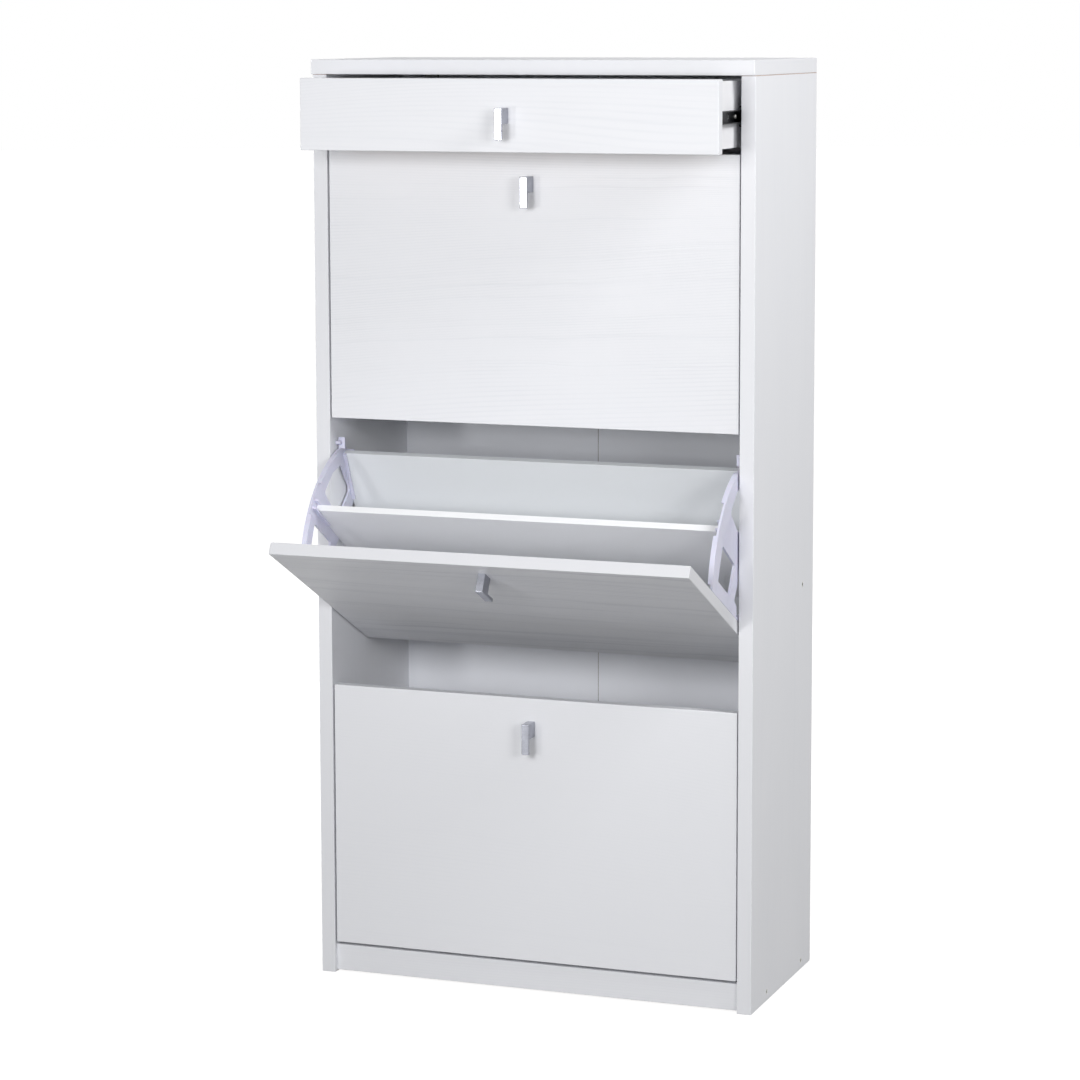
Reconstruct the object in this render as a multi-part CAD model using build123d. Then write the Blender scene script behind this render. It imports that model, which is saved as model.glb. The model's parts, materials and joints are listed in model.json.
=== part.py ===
from build123d import *
import math
import os

# Shoe cabinet: three tip-out racks under a drawer, on a flat-pack carcass.
#
# Built with the front edges of the side panels at y = 0, the wall side towards +Y and
# the floor at z = 0, and moved at the end so that the origin is the bottom centre of the
# whole object at rest. At rest the drawer is part way out and the middle rack is open.

# ---- carcass boards ---------------------------------------------------------------
width = 600.0                # over the side panels
side_depth = 273.0           # front edge to rear edge of a side panel
board = 19.0                 # top, sides, bottom, plinth and rear rail
board_edge = 0.6             # rounding of the foiled board edges
top_overhang = 5.5           # top panel in front of the side panels
plinth_lift = 2.5            # plinth and bottom panel above the floor
plinth_height = 35.0
plinth_recess = 6.0          # plinth behind the front edges of the sides
rail_depth = 76.0            # flat rear rail, front to back
rail_height = 514.5          # underside of the rear rail above the floor
back_sheet = 3.0             # hardboard back
back_inset = 11.6            # inner face of the back from the rear edges
back_groove = 8.0            # depth of the grooves that hold the back
groove_play = 0.2
seam_gap = 0.6               # between the two halves of the back
joint_strip_width = 24.0
joint_strip = 1.0

# ---- fronts -----------------------------------------------------------------------
front_board = 16.0           # flaps and drawer front
front_edge = 1.0             # rounding of the front edges
front_recess = 1.5           # fronts behind the front edges of the sides
side_gap = 2.0               # front to side panel
front_gap = 3.0              # between neighbouring fronts
plinth_gap = 4.5             # plinth to the lowest flap
top_gap = 3.5                # drawer front to top panel
flap_height = 350.0
drawer_front_height = 91.5
racks = ("lower", "middle", "upper")
rack_open = {"lower": False, "middle": True, "upper": False}

# ---- tip-out rack, measured from the flap's outer face and lower edge --------------
open_angle = 62.7            # degrees from closed to the stop
pivot_depth = 22.0
pivot_height = 112.0
pivot_pin_radius = 3.0
pivot_play = 0.08            # radial, pin in the side frame
rack_board = 8.0
web = 3.0                    # wall of the moulded side frames
flange = 3.0
base_flange_width = 14.0     # along the flap
arm_flange_width = 14.0      # behind the rear board
arm_lip_width = 7.0          # in front of the rear board
lip_width = 6.5              # along the arch
stop_lip_width = 9.0         # along the face that meets the stop pin
lip_wall = 2.5
arch_foot_height = 252.0     # arch of the side frame on the flap
arch_crown = (100.0, 259.0)
lower_lip_depths = (24.0, 85.0)
upper_lip_depths = (132.0, 184.0)
front_window = ((80.0, 238.0), (34.0, 235.0), (33.0, 182.0), (75.0, 178.0))
front_window_corner = 2.0
rear_window = (
    (127.0, 226.0), (160.0, 212.5), (179.0, 192.0), (163.0, 155.0),
    (157.0, 150.5), (117.0, 166.0), (117.0, 190.0),
)
rear_window_corner = 4.0
strut_points = ((78.0, 160.0), (60.0, 155.0), (33.5, 159.0), (30.5, 147.0))
frame_corner = 2.0
heel_step = (-2.5, -19.5)    # heel of the hook from its tip
stop_radius = 206.0          # stop pin from the pivot
stop_face = 14.5             # length of the face that meets the stop pin
stop_pin_radius = 2.5
stop_play = 0.3
rear_board_top = (195.5, 190.5)
rear_board_slope = 51.4      # degrees from level
arm_length = 72.0
middle_board_top = (97.0, 242.0)
middle_board_tilt = 6.0      # degrees from upright
slot_rib = 2.5
slot_rib_height = 5.0
slot_rib_rise = 11.0         # ribs above the middle board's top
slot_length = 42.0
slot_play = 0.3
toe_board_height = 4.0       # underside of the toe board above the flap's lower edge
boss_radius = 7.5

# ---- handles ----------------------------------------------------------------------
handle_width = 10.0
handle_height = 40.0
handle_projection = 24.0
handle_plate = 4.5
handle_stem_height = 20.0
handle_edge = 0.8
handle_below_top = 30.0      # top of a rack handle below the flap's top edge
handle_screw_radius = 2.0
handle_screw_grip = 9.0      # thread in the stem

# ---- drawer -----------------------------------------------------------------------
drawer_board = 12.0
drawer_sheet = 3.0
drawer_length = 225.0        # sides, front to back
drawer_out = 88.0            # opening at rest
drawer_top_drop = 3.0        # sides below the top of the front
drawer_bottom_rise = 5.5     # sides above the bottom of the front
sheet_rise = 7.5             # bottom sheet above the lower edge of the sides
sheet_groove = 6.0

# ---- ball runners -----------------------------------------------------------------
runner_space = 10.0          # cabinet side to drawer side
runner_length = 214.0
channel_screws_at = (32.0, 182.0)    # from the front end of a runner
slide_screws_at = (70.0, 182.0)
slide_slots_at = (44.0, 120.0)
slide_slot = (9.0, 4.2)              # length and width
runner_setback = 2.5         # runner behind the closed drawer front
runner_rise = 38.8           # runner centre above the lower edge of the drawer side
channel_height = 27.0
channel_reach = 8.7
runner_steel = 1.1
channel_lip = 2.9
slide_height = 16.0
slide_reach = 7.4
cage_length = 60.0
cage_front = 97.0            # cage behind the front edges of the sides, drawer shut
cage_wall = 0.8
ball_play = 0.3
balls_in_row = 5
ball_pitch = 12.0

# ---- fasteners --------------------------------------------------------------------
fit = 0.05                   # radial, fastener in its own bore
wood_screw_radius = 1.5
wood_screw_length = 10.0
screw_head_radius = 3.0
screw_head_height = 1.8
runner_screw_length = 11.0
confirmat_radius = 2.5
confirmat_head_radius = 3.5
confirmat_head = 4.0
confirmat_length = 50.0
hex_socket_radius = 2.3
hex_socket_depth = 2.5
dowel_radius = 4.0
dowel_length = 30.0
drawer_dowel_radius = 3.0
drawer_dowel_length = 25.0
cam_radius = 7.5
cam_depth = 12.5
cam_from_edge = 34.0
cam_bolt_radius = 3.0
cam_thread = 11.0            # cam bolt in the board it is screwed to
drawer_cam_radius = 6.0
drawer_cam_depth = 9.5
drawer_cam_from_edge = 24.0
bracket_leg = 30.0
bracket_width = 20.0
bracket_steel = 2.0
bracket_spacing = 480.0      # between the two wall brackets
wall_hole_radius = 2.75
wall_hole_drop = 18.0        # wall holes below the top panel

# ---- worked-out places ------------------------------------------------------------
half = width / 2
inner = half - board                       # inner face of a side panel
front_half = inner - side_gap              # half the width of a front
front_y = front_recess                     # outer face of the fronts
behind_front = front_y + front_board
back_y = side_depth - back_inset           # inner face of the back
flap_bottom = {}
z = plinth_lift + plinth_height + plinth_gap
for name in racks:
    flap_bottom[name] = z
    z += flap_height + front_gap
drawer_z = z                               # lower edge of the drawer front
drawer_top_z = drawer_z + drawer_front_height
under_top = drawer_top_z + top_gap         # underside of the top panel
height = under_top + board
side_z = drawer_z + drawer_bottom_rise     # lower edge of the drawer sides
side_top_z = drawer_top_z - drawer_top_drop
drawer_half = inner - runner_space         # outer face of a drawer side
runner_z = side_z + runner_rise
runner_y = behind_front + runner_setback
stem_drop = handle_stem_height / 2         # handle screw below the handle's top
confirmat_y = (70.0, 228.0)                # bottom panel screws behind the front edges
rail_y = back_y - rail_depth / 2
cam_y = (45.0, 215.0)
top_dowel_y = (75.0, 245.0)
plinth_dowel_z = (plinth_lift + 9.0, plinth_lift + 27.0)
plinth_y = plinth_recess + board / 2
plinth_y_range = (plinth_recess, plinth_recess + board)
bottom_y = (plinth_y_range[1], back_y)
rail_dowel_y = rail_y - 26.0
bottom_z = plinth_lift + board / 2
rail_z = rail_height + board / 2
dowel_embed = board - 7.0                  # dowel in the face of a board


# ---- small helpers ----------------------------------------------------------------
def block(x, y, z):
    """A box between two corners, given as (low, high) on each axis."""
    return Pos(sum(x) / 2, sum(y) / 2, sum(z) / 2) * Box(x[1] - x[0], y[1] - y[0], z[1] - z[0])


def panel(x, y, z, edge=board_edge):
    """A board with rounded edges."""
    body = block(x, y, z)
    return fillet(body.edges(), edge)


def rod(start, direction, radius, length):
    """A round bar from a point along a direction."""
    return Plane(start, z_dir=direction) * Pos(0, 0, length / 2) * Cylinder(radius, length)


def profile(points, x):
    """A prism between two x values whose section is drawn in (y, z)."""
    face = make_face(Polyline(*points, close=True))
    return Pos(x[0], 0, 0) * extrude(Plane.YZ * face, amount=x[1] - x[0])


def both_sides(part):
    return [part, mirror(part, about=Plane.YZ)]


def countersunk(start, direction, length, radius=wood_screw_radius, play=0.0):
    """A screw with its flat head flush at start and its point along direction."""
    head = Cone(screw_head_radius + play, radius + play, screw_head_height)
    head = Plane(start, z_dir=direction) * Pos(0, 0, screw_head_height / 2) * head
    return head + rod(start, direction, radius + play, length + play)


def cross_recess(start, direction):
    """The cutter for a cross-head driver, from the face of a screw head."""
    arm = screw_head_radius * 0.62
    slot = Box(2 * arm, 0.7, 1.2) + Box(0.7, 2 * arm, 1.2)
    return Plane(start, z_dir=direction) * Pos(0, 0, 0.6) * slot


def flat_screw(start, direction, length, radius=wood_screw_radius):
    return countersunk(start, direction, length, radius) - cross_recess(start, direction)


def pan_screw(start, direction, length, radius):
    """A screw whose domed head stands on the surface at start."""
    head = Cylinder(screw_head_radius, screw_head_height)
    head = fillet(head.edges().group_by(Axis.Z)[-1], screw_head_height * 0.5)
    back = Vector(*direction) * -1
    place = Plane(start, z_dir=tuple(back))
    head = place * Pos(0, 0, screw_head_height / 2) * head
    top = Vector(*start) + back * screw_head_height
    return head + rod(start, direction, radius, length) - cross_recess(tuple(top), direction)


def confirmat(start, direction, play=0.0):
    """A one-piece connecting screw, its head flush at start."""
    return rod(start, direction, confirmat_head_radius + play, confirmat_head + play) + rod(
        start, direction, confirmat_radius + play, confirmat_length + play
    )


def polar(centre, radius, degrees):
    turn = math.radians(degrees)
    return (centre[0] + radius * math.cos(turn), centre[1] + radius * math.sin(turn))


def along(point, direction, distance):
    return (point[0] + direction[0] * distance, point[1] + direction[1] * distance)


# ---- carcass ----------------------------------------------------------------------
def joint_cuts():
    """Every bore that the carcass fasteners need, on the right-hand side."""
    cuts = [confirmat((half, y, bottom_z), (-1, 0, 0), fit) for y in confirmat_y]
    cuts.append(confirmat((half, rail_y, rail_z), (-1, 0, 0), fit))
    for y, z in [(plinth_y, z) for z in plinth_dowel_z] + [(rail_dowel_y, rail_z)]:
        cuts.append(rod((inner + dowel_embed, y, z), (-1, 0, 0), dowel_radius + fit, dowel_length))
    for y in top_dowel_y:
        start = (half - board / 2, y, under_top + dowel_embed)
        cuts.append(rod(start, (0, 0, -1), dowel_radius + fit, dowel_length))
    for y in cam_y:
        cuts += [cam_lock(y, fit), cam_bolt(y, fit)]
    return cuts


def cam_lock(y, play=0.0):
    """Cam drum let into the inner face of the side panel below the top."""
    start = (inner, y, under_top - cam_from_edge)
    drum = rod(start, (1, 0, 0), cam_radius + play, cam_depth + play)
    if play:
        return drum
    slot = Plane(start, z_dir=(1, 0, 0)) * Pos(0, 0, 0.9) * Box(9.0, 1.4, 1.8)
    bolt_way = rod((inner + board / 2, y, under_top), (0, 0, -1), cam_bolt_radius + fit, cam_from_edge)
    return drum - slot - bolt_way


def cam_bolt(y, play=0.0):
    """Bolt screwed up into the top panel, its end held by the cam drum."""
    start = (inner + board / 2, y, under_top + cam_thread)
    return rod(start, (0, 0, -1), cam_bolt_radius + play, cam_thread + cam_from_edge - 1.5)


def make_side_panel():
    side = panel((inner, half), (0, side_depth), (0, under_top))
    groove = (back_y, back_y + back_sheet + groove_play)
    side -= block((inner, inner + back_groove), groove, (0, under_top))
    for cut in joint_cuts():
        side -= cut
    for name in racks:
        for y, z, radius in (pivot_place(name), stop_place(name)):
            side -= rod((inner, y, z), (1, 0, 0), radius + fit, pin_depth)
    for y in channel_screw_y:
        side -= countersunk(channel_screw_start(y), (1, 0, 0), runner_screw_length, play=fit)
    return side


def make_top_panel():
    top = panel((-half, half), (-top_overhang, side_depth), (under_top, height))
    groove = (back_y, back_y + back_sheet + groove_play)
    top -= block((-inner - back_groove, inner + back_groove), groove, (under_top, under_top + back_groove))
    for cut in joint_cuts() + [bracket_screw(x, fit) for x in bracket_screw_x]:
        for half_cut in both_sides(cut):
            top -= half_cut
    return top


def make_cross_board(y, z):
    """A board between the side panels: bottom panel, plinth or rear rail."""
    cross = panel((-inner, inner), y, z)
    for cut in joint_cuts():
        for half_cut in both_sides(cut):
            cross -= half_cut
    return cross


def make_back_sheet():
    """Right-hand half of the back; it stands in the grooves of the side and the top."""
    sheet = block(
        (seam_gap / 2, inner + back_groove - groove_play),
        (back_y, back_y + back_sheet),
        (plinth_lift, under_top + back_groove - groove_play),
    )
    hole = (bracket_spacing / 2, back_y - bracket_steel, under_top - wall_hole_drop)
    return sheet - rod(hole, (0, 1, 0), wall_hole_radius, bracket_steel + back_sheet)


def make_joint_strip():
    """Flat strip behind the seam of the back, fixed to both halves."""
    rear = back_y + back_sheet
    reach = joint_strip_width / 2
    return block((-reach, reach), (rear, rear + joint_strip), (plinth_lift, under_top))


def bracket_screw(x, play=0.0):
    y = back_y - bracket_leg * 0.6
    start = (x, y, under_top - bracket_steel)
    return countersunk(start, (0, 0, 1), wood_screw_length, play=play)


def make_wall_bracket():
    """Steel angle under the top, with a hole towards the wall."""
    x = (bracket_spacing / 2 - bracket_width / 2, bracket_spacing / 2 + bracket_width / 2)
    flat = block(x, (back_y - bracket_leg, back_y), (under_top - bracket_steel, under_top))
    upright = block(x, (back_y - bracket_steel, back_y), (under_top - bracket_leg, under_top))
    angle = flat + upright
    inner_corner = (x[0], back_y - bracket_steel, under_top - bracket_steel)
    bend = angle.edges().filter_by(Axis.X).sort_by_distance(inner_corner)
    angle = fillet(bend[0], bracket_steel)
    hole = (bracket_spacing / 2, back_y - bracket_steel, under_top - wall_hole_drop)
    angle -= rod(hole, (0, 1, 0), wall_hole_radius, bracket_steel)
    for screw_x in bracket_screw_x:
        angle -= bracket_screw(screw_x, fit)
    return angle


# ---- pins that carry and stop the racks --------------------------------------------
pin_depth = 12.0             # pins in the side panels
pivot_reach = side_gap + base_flange_width - 1.0
stop_reach = side_gap + lip_width - 1.5
bracket_screw_x = [bracket_spacing / 2 + shift for shift in (-5.5, 5.5)]


def pivot_place(name):
    return (front_y + pivot_depth, flap_bottom[name] + pivot_height, pivot_pin_radius)


def stop_place(name):
    """The stop pin stands just behind the closed flap, above the pivot."""
    y = behind_front + stop_play + stop_pin_radius
    drop = y - front_y - pivot_depth
    z = flap_bottom[name] + pivot_height + math.sqrt(stop_radius**2 - drop**2)
    return (y, z, stop_pin_radius)


def pins(place, reach):
    made = []
    for name in racks:
        y, z, radius = place(name)
        pin = rod((inner + pin_depth, y, z), (-1, 0, 0), radius, pin_depth + reach)
        made += both_sides(chamfer(pin.edges().group_by(Axis.X)[0], 0.5))
    return made


# ---- one tip-out rack, closed, with its flap's outer face at y = 0 and foot at z = 0 --
board_up = (math.cos(math.radians(rear_board_slope)), math.sin(math.radians(rear_board_slope)))
board_back = (board_up[1], -board_up[0])   # out of the rear face of the rear board
pivot = (pivot_depth, pivot_height)
toe_top = toe_board_height + rack_board
rear_board_length = (rear_board_top[1] - toe_top) / board_up[1]
rear_board_foot = along(rear_board_top, board_up, -rear_board_length)
foot_width = rack_board / board_up[1]      # level width of the sloping rear board
toe_end = rear_board_foot[0] + foot_width
stop_drop = pivot_depth - (front_board + stop_play + stop_pin_radius)
stop_lead = (stop_drop - stop_pin_radius - stop_play) / stop_radius
stop_turn = 90.0 + math.degrees(math.asin(stop_lead)) - open_angle
frame_x = (front_half - web, front_half)
base_screw_z = (40.0, 146.0, 214.0)
base_screw_x = front_half - web - (base_flange_width - web) / 2
arm_screw_x = front_half - web - (arm_flange_width - web) / 2
arm_screws = (18.0, 54.0)                  # from the top of the rear board, down its slope
toe_screw_y = front_board + 26.0


def make_flap():
    flap = panel((-front_half, front_half), (0, front_board), (0, flap_height), front_edge)
    for screw in rack_screws(fit):
        flap -= screw
    return flap


def middle_board_line(z):
    """Depth of the middle board's front face at a height."""
    return middle_board_top[0] - (middle_board_top[1] - z) * math.tan(math.radians(middle_board_tilt))


def rear_board_line(z):
    """Depth of the rear board's front face at a height."""
    return rear_board_top[0] - (rear_board_top[1] - z) / math.tan(math.radians(rear_board_slope))


def meet_rear_board(offset):
    """Where the middle board, pushed back by offset, meets the rear board's front face."""
    lean = math.tan(math.radians(middle_board_tilt))
    run = 1 / math.tan(math.radians(rear_board_slope))
    ahead = rear_board_top[0] - rear_board_top[1] * run
    start = middle_board_top[0] + offset - middle_board_top[1] * lean
    z = (start - ahead) / (run - lean)
    return (rear_board_line(z), z)


def make_middle_board():
    level = rack_board / math.cos(math.radians(middle_board_tilt))
    tilt = math.radians(middle_board_tilt)
    corner = along(middle_board_top, (math.cos(tilt), -math.sin(tilt)), rack_board)
    outline = [middle_board_top, meet_rear_board(0), meet_rear_board(level), corner]
    reach = front_half - web - slot_play
    body = profile(outline, (-reach, reach))
    return fillet(body.edges().filter_by(Axis.X).group_by(Axis.Z)[-1], board_edge)


def make_rear_board():
    corner = along(rear_board_top, board_back, rack_board)
    outline = [rear_board_top, rear_board_foot, (toe_end, toe_top), corner]
    reach = front_half - web - slot_play
    body = profile(outline, (-reach, reach))
    body = fillet(body.edges().filter_by(Axis.X).group_by(Axis.Z)[-1], board_edge)
    for screw in rack_screws(fit):
        body -= screw
    return body


def make_toe_board():
    reach = front_half - web
    body = block((-reach, reach), (front_board + flange, toe_end), (toe_board_height, toe_top))
    body += block((-reach + base_flange_width, reach - base_flange_width),
                  (front_board, front_board + flange), (toe_board_height, toe_top))
    for screw in rack_screws(fit):
        body -= screw
    return body


def frame_web():
    """The flat wall of the right-hand side frame, above the pivot."""
    foot = (front_board, arch_foot_height)
    inside = polar(pivot, stop_radius - stop_face * 0.55, stop_turn)
    tip = polar(pivot, stop_radius + stop_face * 0.45, stop_turn)
    heel = along(tip, heel_step, 1.0)
    arm_back = along(rear_board_top, board_back, rack_board + flange)
    elbow = along(arm_back, board_up, -arm_length)
    low = (front_board, strut_points[-1][1] - 8.5)
    edge = [
        Line(low, foot),
        ThreePointArc(foot, arch_crown, inside),
        Polyline(inside, tip, heel, arm_back, elbow, *strut_points, low),
    ]
    face = make_face(edge)
    rounded = [v for v in face.vertices() if near(v, (tip, heel, arm_back, elbow, *strut_points))]
    return fillet(rounded, frame_corner)


def near(vertex, points):
    return any(math.dist((vertex.X, vertex.Y), point) < 0.01 for point in points)


def window(points, radius):
    face = make_face(Polyline(*points, close=True))
    return fillet(face.vertices(), radius)


def arch_centre():
    """Centre of the circle through the arch's foot, crown and stop end."""
    (ax, ay), (bx, by) = (front_board, arch_foot_height), arch_crown
    cx, cy = polar(pivot, stop_radius - stop_face * 0.55, stop_turn)
    d = 2 * (ax * (by - cy) + bx * (cy - ay) + cx * (ay - by))
    a, b, c = ax**2 + ay**2, bx**2 + by**2, cx**2 + cy**2
    return (
        (a * (by - cy) + b * (cy - ay) + c * (ay - by)) / d,
        (a * (cx - bx) + b * (ax - cx) + c * (bx - ax)) / d,
    )


def arch_lip(y0, y1):
    """A lip turned inwards along part of the arch, between two depths."""
    centre = arch_centre()
    radius = math.dist(centre, arch_crown)
    ring = Pos(*centre) * (Circle(radius) - Circle(radius - lip_wall))
    strip = Pos((y0 + y1) / 2, centre[1] + radius) * Rectangle(y1 - y0, 2 * radius)
    face = ring & strip
    return Pos(front_half - lip_width, 0, 0) * extrude(Plane.YZ * face, amount=lip_width)


def arm_rail(offset, thickness, rail_width):
    """A rail along the rear board, at an offset from the board's front face."""
    top = along(rear_board_top, board_back, offset)
    end = along(top, board_up, -arm_length + frame_corner)
    outline = [top, end, along(end, board_back, thickness), along(top, board_back, thickness)]
    return profile(outline, (front_half - rail_width, front_half))


def stop_lip():
    """The face that meets the stop pin, widened inwards."""
    inside = polar(pivot, stop_radius - stop_face * 0.55, stop_turn)
    tip = polar(pivot, stop_radius + stop_face * 0.45, stop_turn)
    away = polar((0.0, 0.0), lip_wall, stop_turn - 90.0)
    outline = [inside, tip, along(tip, away, 1.0), along(inside, away, 1.0)]
    return profile(outline, (front_half - stop_lip_width, front_half))


def make_side_frame():
    """Right-hand moulded frame: it carries the boards and turns on the pivot pin."""
    face = frame_web() - window(front_window, front_window_corner) - window(rear_window, rear_window_corner)
    frame = Pos(frame_x[0], 0, 0) * extrude(Plane.YZ * face, amount=web)

    low = toe_board_height - flange
    inward = (front_half - base_flange_width, front_half)
    lower_web = [(front_board, low), (toe_end + 3.0, low), (toe_end + 3.0, toe_top), (44.0, toe_top + 12.0),
                 (front_board + 9.0, 58.0), (front_board + 9.0, pivot_height - 8.0),
                 (front_board, pivot_height + 17.0)]
    frame += profile(lower_web, frame_x)
    frame += block(inward, (front_board, front_board + flange), (low, arch_foot_height))
    frame += block(inward, (front_board, toe_end + 3.0), (low, toe_board_height))
    frame += block(inward, (toe_end + 0.2, toe_end + 3.0), (low, toe_top))
    frame += rod((inward[0], *pivot), (1, 0, 0), boss_radius, base_flange_width) & block(
        inward, (front_board, 60.0), (0, flap_height))

    frame += arm_rail(0.0, -lip_wall, arm_lip_width)
    frame += arm_rail(rack_board, flange, arm_flange_width)
    frame += arch_lip(*lower_lip_depths)
    frame += arch_lip(*upper_lip_depths)
    frame += stop_lip()

    lean = math.radians(middle_board_tilt)
    down = (-math.sin(lean), -math.cos(lean))
    out = (math.cos(lean), -math.sin(lean))
    rib_x = (frame_x[0] - slot_rib_height, frame_x[0])
    for offset in (-slot_play - slot_rib, rack_board + slot_play):
        top = along(along(middle_board_top, out, offset), down, -slot_rib_rise)
        end = along(top, down, slot_rib_rise + slot_length)
        frame += profile([top, end, along(end, out, slot_rib), along(top, out, slot_rib)], rib_x)

    frame -= rod((inward[0], *pivot), (1, 0, 0), pivot_pin_radius + pivot_play, base_flange_width)
    for screw in rack_screws(fit):
        frame -= screw
    return frame


def rack_screws(play=0.0):
    """Right-hand wood screws of the rack, or their bores where play is given."""
    make = (lambda *a: countersunk(*a, play=play)) if play else flat_screw
    screws = []
    for z in base_screw_z:
        screws.append(make((base_screw_x, front_board + flange, z), (0, -1, 0), wood_screw_length))
    for down in arm_screws:
        place = along(along(rear_board_top, board_up, -down), board_back, rack_board + flange)
        forward = (0, -board_back[0], -board_back[1])
        screws.append(make((arm_screw_x, *place), forward, wood_screw_length - 1.0))
    start = (base_screw_x, toe_screw_y, toe_board_height - flange)
    screws.append(make(start, (0, 0, 1), wood_screw_length - 1.0))
    if play:
        screws += [mirror(screw, about=Plane.YZ) for screw in screws]
        screws.append(handle_screw_bore(flap_height - handle_below_top - stem_drop))
    return screws


# ---- handles, on a front whose outer face is at y = 0 --------------------------------
def make_handle(top):
    """Square pull: a plate on a stem that fills its upper half."""
    x = (-handle_width / 2, handle_width / 2)
    plate = (-handle_projection, -handle_projection + handle_plate)
    pull = block(x, plate, (top - handle_height, top))
    pull += block(x, (-handle_projection, 0), (top - handle_stem_height, top))
    outer = pull.edges().filter_by(lambda e: e.center().Y < -0.1)
    pull = fillet(outer, handle_edge)
    bore_start = (0, -handle_screw_grip, top - stem_drop)
    return pull - rod(bore_start, (0, 1, 0), handle_screw_radius + fit, handle_screw_grip)


def handle_screw(z):
    start = (0, front_board, z)
    return pan_screw(start, (0, -1, 0), front_board + handle_screw_grip - 1.0, handle_screw_radius)


def handle_screw_bore(z):
    return rod((0, front_board, z), (0, -1, 0), handle_screw_radius + fit, front_board)


# ---- drawer, closed ------------------------------------------------------------------
drawer_y = (behind_front, behind_front + drawer_length)
drawer_back_y = (drawer_y[1] - drawer_board, drawer_y[1])
sheet_z = (side_z + sheet_rise, side_z + sheet_rise + drawer_sheet)
drawer_dowel_z = (side_z + 20.0, side_top_z - 12.0)
drawer_cam_z = (side_z + side_top_z) / 2
drawer_screw_z = (side_z + 24.0, side_top_z - 16.0)
drawer_handle_top = (drawer_z + drawer_top_z) / 2 + stem_drop
drawer_inside = drawer_half - drawer_board


def drawer_dowel(z, play=0.0):
    start = (drawer_half - drawer_board / 2, drawer_y[0] - front_board * 0.65, z)
    return rod(start, (0, 1, 0), drawer_dowel_radius + play, drawer_dowel_length)


def drawer_cam(play=0.0):
    start = (drawer_inside, drawer_y[0] + drawer_cam_from_edge, drawer_cam_z)
    drum = rod(start, (1, 0, 0), drawer_cam_radius + play, drawer_cam_depth + play)
    if play:
        return drum
    slot = Plane(start, z_dir=(1, 0, 0)) * Pos(0, 0, 0.8) * Box(7.5, 1.3, 1.6)
    return drum - slot - drawer_cam_bolt(fit)


def drawer_cam_bolt(play=0.0):
    start = (drawer_half - drawer_board / 2, drawer_y[0] - front_board * 0.65, drawer_cam_z)
    length = front_board * 0.65 + drawer_cam_from_edge - 1.0
    return rod(start, (0, 1, 0), cam_bolt_radius - 0.5 + play, length)


def drawer_back_screw(z, play=0.0):
    start = (drawer_half, (drawer_back_y[0] + drawer_back_y[1]) / 2, z)
    if play:
        return countersunk(start, (-1, 0, 0), drawer_board + 20.0, play=play)
    return flat_screw(start, (-1, 0, 0), drawer_board + 20.0)


def drawer_cuts():
    cuts = [drawer_dowel(z, fit) for z in drawer_dowel_z] + [drawer_cam(fit), drawer_cam_bolt(fit)]
    cuts += [drawer_back_screw(z, fit) for z in drawer_screw_z]
    return cuts + [slide_screw(y, fit) for y in slide_screw_y]


def drawer_sheet_block(play=0.0):
    reach = drawer_inside + sheet_groove - groove_play + play
    start = drawer_y[0] - sheet_groove + groove_play - play
    return block((-reach, reach), (start, drawer_y[1] + play), (sheet_z[0], sheet_z[1] + play))


def make_drawer_side():
    side = panel((drawer_inside, drawer_half), drawer_y, (side_z, side_top_z))
    side -= drawer_sheet_block(groove_play)
    for cut in drawer_cuts():
        side -= cut
    return side


def make_drawer_front():
    front = panel((-front_half, front_half), (front_y, behind_front), (drawer_z, drawer_top_z), front_edge)
    front -= drawer_sheet_block(groove_play)
    front -= Pos(0, front_y, 0) * handle_screw_bore(drawer_handle_top - stem_drop)
    for cut in drawer_cuts():
        for half_cut in both_sides(cut):
            front -= half_cut
    return front


def make_drawer_back():
    back = panel((-drawer_inside, drawer_inside), drawer_back_y, (sheet_z[1], side_top_z))
    for cut in drawer_cuts():
        for half_cut in both_sides(cut):
            back -= half_cut
    return back


# ---- ball runners, right-hand one ----------------------------------------------------
runner_plane = Plane((inner, 0, runner_z), x_dir=(-1, 0, 0), z_dir=(0, 1, 0))
channel_screw_y = [runner_y + place for place in channel_screws_at]
slide_screw_y = [runner_y + place for place in slide_screws_at]
ball_gap = (channel_height - slide_height) / 2 - runner_steel
ball_radius = ball_gap / 2 - ball_play
ball_row = slide_height / 2 + ball_gap / 2
ball_u = 5.0                               # balls from the cabinet side


def runner_section(outline, length, start):
    face = make_face(Polyline(*outline, close=True))
    return extrude(runner_plane.offset(start) * face, amount=length)


def mirrored(half_outline):
    """Close a section that is the same above and below its middle."""
    return half_outline + [(u, -v) for u, v in reversed(half_outline)]


def channel_screw_start(y):
    return (inner - runner_steel, y, runner_z)


def make_channel():
    """Outer member, fixed to the cabinet side."""
    top = channel_height / 2
    wall = runner_steel
    outline = mirrored([
        (0, top), (channel_reach, top),
        (channel_reach, top - channel_lip), (channel_reach - wall, top - channel_lip),
        (channel_reach - wall, top - wall), (wall, top - wall),
    ])
    channel = runner_section(outline, runner_length, runner_y)
    long_edges = channel.edges().filter_by(Axis.Y)
    channel = fillet(long_edges.filter_by(lambda e: abs(abs(e.center().Z - runner_z) - top) < 0.01), wall)
    for y in channel_screw_y:
        channel -= countersunk(channel_screw_start(y), (1, 0, 0), runner_screw_length, play=fit)
    return channel


def slide_screw(y, play=0.0):
    start = (drawer_half + runner_steel, y, runner_z)
    if play:
        return rod(start, (-1, 0, 0), wood_screw_radius + play, wood_screw_length + play)
    return pan_screw(start, (-1, 0, 0), wood_screw_length, wood_screw_radius)


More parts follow.
